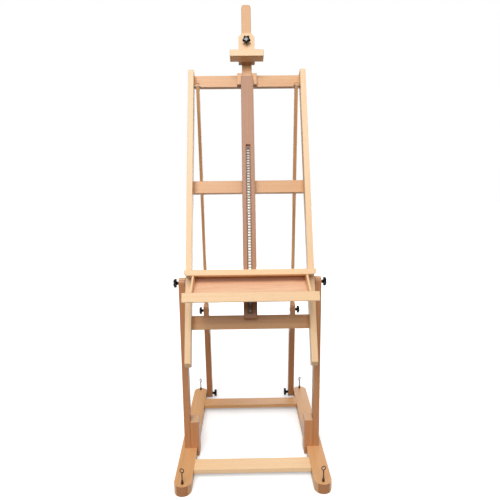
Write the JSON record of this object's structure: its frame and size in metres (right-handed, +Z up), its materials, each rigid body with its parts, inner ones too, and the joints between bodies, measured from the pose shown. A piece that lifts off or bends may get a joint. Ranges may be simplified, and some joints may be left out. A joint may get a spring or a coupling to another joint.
{
  "type": "h frame easel",
  "caption": "Tilting studio easel: floor base with posts, H-shaped frame, mast with canvas clamp, ratchet ledge with paint tray, telescoping back struts.",
  "frame": {"origin": "on the floor, under the middle of the whole easel's bounding box", "axes": "+X to the easel's right as seen from the canvas side, +Y to the back, +Z up"},
  "size_m": [0.6396, 0.8, 2.0362],
  "materials": {
    "beech": "oiled, satin",
    "pale_beech": "oiled, satin",
    "dark_beech": "oiled, satin",
    "plywood": "thin board, satin",
    "black_plastic": "glossy moulded",
    "steel": "plated",
    "brassed_steel": "dull plated"
  },
  "bodies": {
    "base": {"front_crossbar": "pale_beech", "rear_crossbar": "beech", "runner_left": "beech", "runner_right": "beech", "post_left": "dark_beech", "post_right": "dark_beech", "post_block_left": "dark_beech", "post_block_right": "dark_beech", "foot_stud_left": "steel", "foot_stud_right": "steel"},
    "frame": {"lower_crossboard": "beech", "middle_crossboard": "beech", "top_crossboard": "beech", "centre_column": "dark_beech", "ratchet_rack": "steel", "column_foot_block": "beech", "side_rail_left": "pale_beech", "side_rail_right": "pale_beech", "mast_guide_left": "beech", "mast_guide_right": "beech", "pivot_bolt_left": "steel", "pivot_bolt_right": "steel", "strut_pin_left": "steel", "strut_pin_right": "steel"},
    "mast": {"mast": "beech"},
    "clamp": {"clamp_plate": "pale_beech", "clamp_bar": "pale_beech", "clamp_back_plate": "pale_beech", "clamp_cheek_left": "pale_beech", "clamp_cheek_right": "pale_beech"},
    "clamp_knob": {"clamp_knob": "black_plastic"},
    "mast_lock_knob": {"mast_lock_knob": "black_plastic"},
    "tray": {"canvas_ledge": "pale_beech", "tray_back_board": "dark_beech", "tray_bottom": "plywood", "tray_front_rail": "pale_beech", "pawl_pin": "steel", "tray_side_left": "pale_beech", "tray_side_right": "pale_beech", "carriage_guide_left": "beech", "carriage_guide_right": "beech"},
    "pawl": {"pawl": "steel"},
    "lower_strut_left": {"lower_strut_left": "dark_beech", "strut_bolt_left": "steel"},
    "upper_strut_left": {"upper_strut_left": "beech"},
    "strut_knob_left": {"strut_knob_left": "black_plastic"},
    "foot_knob_left": {"foot_knob_left": "black_plastic"},
    "pivot_knob_left": {"pivot_knob_left": "black_plastic"},
    "front_levelling_screw_left": {"front_levelling_screw_left": "brassed_steel"},
    "rear_levelling_screw_left": {"rear_levelling_screw_left": "brassed_steel"},
    "lower_strut_right": {"lower_strut_right": "dark_beech", "strut_bolt_right": "steel"},
    "upper_strut_right": {"upper_strut_right": "beech"},
    "strut_knob_right": {"strut_knob_right": "black_plastic"},
    "foot_knob_right": {"foot_knob_right": "black_plastic"},
    "pivot_knob_right": {"pivot_knob_right": "black_plastic"},
    "front_levelling_screw_right": {"front_levelling_screw_right": "brassed_steel"},
    "rear_levelling_screw_right": {"rear_levelling_screw_right": "brassed_steel"}
  },
  "joints": [
    {"name": "frame_tilt", "type": "hinge", "parent": "base", "child": "frame", "pos_m": [0, -0.1295, 0.789], "axis": [-1, 0, 0], "range_deg": [-20, 30]},
    {"name": "mast_slide", "type": "slide", "parent": "frame", "child": "mast", "axis": [0, 0.3584, 0.9336], "range_m": [-0.03, 0.25]},
    {"name": "clamp_slide", "type": "slide", "parent": "mast", "child": "clamp", "axis": [0, 0.3584, 0.9336], "range_m": [-0.03, 0.12]},
    {"name": "clamp_knob_turn", "type": "hinge", "parent": "clamp", "child": "clamp_knob", "pos_m": [0, 0.26254, 1.84462], "axis": [0, -0.9336, 0.3584], "continuous": true},
    {"name": "mast_lock_knob_turn", "type": "hinge", "parent": "frame", "child": "mast_lock_knob", "pos_m": [0, 0.25022, 1.65654], "axis": [0, 0.9336, -0.3584], "continuous": true},
    {"name": "tray_slide", "type": "slide", "parent": "frame", "child": "tray", "axis": [0, 0.3584, 0.9336], "range_m": [-0.03, 0.35]},
    {"name": "pawl_turn", "type": "hinge", "parent": "tray", "child": "pawl", "pos_m": [0, -0.17354, 0.7577], "axis": [-1, 0, 0], "range_deg": [0, 20], "stiffness_Nm_per_rad": 0.05, "springref_deg": -22.92},
    {"name": "lower_strut_turn_left", "type": "hinge", "parent": "base", "child": "lower_strut_left", "pos_m": [-0.22575, 0.363, 0.03], "axis": [-1, 0, 0], "range_deg": [-13, 18]},
    {"name": "upper_strut_turn_left", "type": "hinge", "parent": "frame", "child": "upper_strut_left", "pos_m": [-0.22575, 0.19475, 1.63369], "axis": [-1, 0, 0], "range_deg": [-18, 13]},
    {"name": "strut_knob_turn_left", "type": "hinge", "parent": "lower_strut_left", "child": "strut_knob_left", "pos_m": [-0.241, 0.31083, 0.52727], "axis": [-1, 0, 0], "continuous": true},
    {"name": "foot_knob_turn_left", "type": "hinge", "parent": "base", "child": "foot_knob_left", "pos_m": [-0.21, 0.363, 0.03], "axis": [1, 0, 0], "continuous": true},
    {"name": "pivot_knob_turn_left", "type": "hinge", "parent": "base", "child": "pivot_knob_left", "pos_m": [-0.2973, -0.1295, 0.789], "axis": [-1, 0, 0], "continuous": true},
    {"name": "front_levelling_screw_turn_left", "type": "hinge", "parent": "base", "child": "front_levelling_screw_left", "pos_m": [-0.2775, -0.38, 0.05], "axis": [0, 0, 1], "continuous": true},
    {"name": "rear_levelling_screw_turn_left", "type": "hinge", "parent": "base", "child": "rear_levelling_screw_left", "pos_m": [-0.2775, 0.38, 0.05], "axis": [0, 0, 1], "continuous": true},
    {"name": "lower_strut_turn_right", "type": "hinge", "parent": "base", "child": "lower_strut_right", "pos_m": [0.22575, 0.363, 0.03], "axis": [-1, 0, 0], "range_deg": [-13, 18]},
    {"name": "upper_strut_turn_right", "type": "hinge", "parent": "frame", "child": "upper_strut_right", "pos_m": [0.22575, 0.19475, 1.63369], "axis": [-1, 0, 0], "range_deg": [-18, 13]},
    {"name": "strut_knob_turn_right", "type": "hinge", "parent": "lower_strut_right", "child": "strut_knob_right", "pos_m": [0.241, 0.31083, 0.52727], "axis": [1, 0, 0], "continuous": true},
    {"name": "foot_knob_turn_right", "type": "hinge", "parent": "base", "child": "foot_knob_right", "pos_m": [0.21, 0.363, 0.03], "axis": [-1, 0, 0], "continuous": true},
    {"name": "pivot_knob_turn_right", "type": "hinge", "parent": "base", "child": "pivot_knob_right", "pos_m": [0.2973, -0.1295, 0.789], "axis": [1, 0, 0], "continuous": true},
    {"name": "front_levelling_screw_turn_right", "type": "hinge", "parent": "base", "child": "front_levelling_screw_right", "pos_m": [0.2775, -0.38, 0.05], "axis": [0, 0, 1], "continuous": true},
    {"name": "rear_levelling_screw_turn_right", "type": "hinge", "parent": "base", "child": "rear_levelling_screw_right", "pos_m": [0.2775, 0.38, 0.05], "axis": [0, 0, 1], "continuous": true}
  ],
  "couplings": [
    {"joint": "lower_strut_turn_left", "follows": "frame_tilt", "ratio": 0.5},
    {"joint": "upper_strut_turn_left", "follows": "frame_tilt", "ratio": -0.5},
    {"joint": "lower_strut_turn_right", "follows": "frame_tilt", "ratio": 0.5},
    {"joint": "upper_strut_turn_right", "follows": "frame_tilt", "ratio": -0.5}
  ]
}
